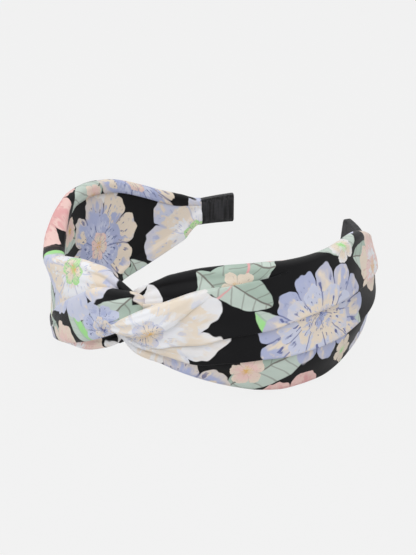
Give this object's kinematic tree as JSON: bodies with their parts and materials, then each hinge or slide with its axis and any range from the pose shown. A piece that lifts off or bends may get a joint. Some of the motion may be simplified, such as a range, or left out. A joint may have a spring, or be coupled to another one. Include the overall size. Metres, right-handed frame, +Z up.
{
  "type": "knotted headband",
  "caption": "Wide padded hair hoop dressed in folded printed fabric that loops through itself in a knot at the crown, with ribbon-wrapped tips and springy arms.",
  "frame": {"origin": "middle of the base of the box that holds the headband as it lies on its lower edge", "axes": "+Z up across the width of the band, -Y towards the knot at the front, +Y out of the open end, +X towards the right arm"},
  "size_m": [0.1466, 0.1594, 0.061],
  "materials": {
    "black_plastic": "satin moulded surface",
    "white_foam": "open-cell sponge sheet",
    "printed_lining": "printed woven lining, matte",
    "printed_satin": "printed woven satin, soft sheen",
    "black_ribbon": "ribbed woven ribbon",
    "clear_glue": "set hot-melt film"
  },
  "bodies": {
    "crown": {"hoop_crown": "black_plastic", "lining_crown": "printed_lining", "knot_loop_left": "printed_satin", "knot_loop_right": "printed_satin", "knot_glue_pad": "clear_glue"},
    "left_arm": {"hoop_arm_left": "black_plastic", "foam_left": "white_foam", "lining_left": "printed_lining", "upper_ply_left": "printed_satin", "lower_ply_left": "printed_satin", "tip_wrap_left": "black_ribbon"},
    "right_arm": {"hoop_arm_right": "black_plastic", "foam_right": "white_foam", "lining_right": "printed_lining", "upper_ply_right": "printed_satin", "lower_ply_right": "printed_satin", "tip_wrap_right": "black_ribbon"}
  },
  "joints": [
    {"name": "left_arm_flex", "type": "hinge", "parent": "crown", "child": "left_arm", "pos_m": [-0.00968, -0.06479, 0.0326], "axis": [0, 0, 1], "range_deg": [-3, 10], "stiffness_Nm_per_rad": 0.65},
    {"name": "right_arm_flex", "type": "hinge", "parent": "crown", "child": "right_arm", "pos_m": [0.02316, -0.06121, 0.0326], "axis": [0, 0, -1], "range_deg": [-3, 10], "stiffness_Nm_per_rad": 0.65}
  ],
  "couplings": [
    {"joint": "right_arm_flex", "follows": "left_arm_flex", "ratio": 1}
  ]
}
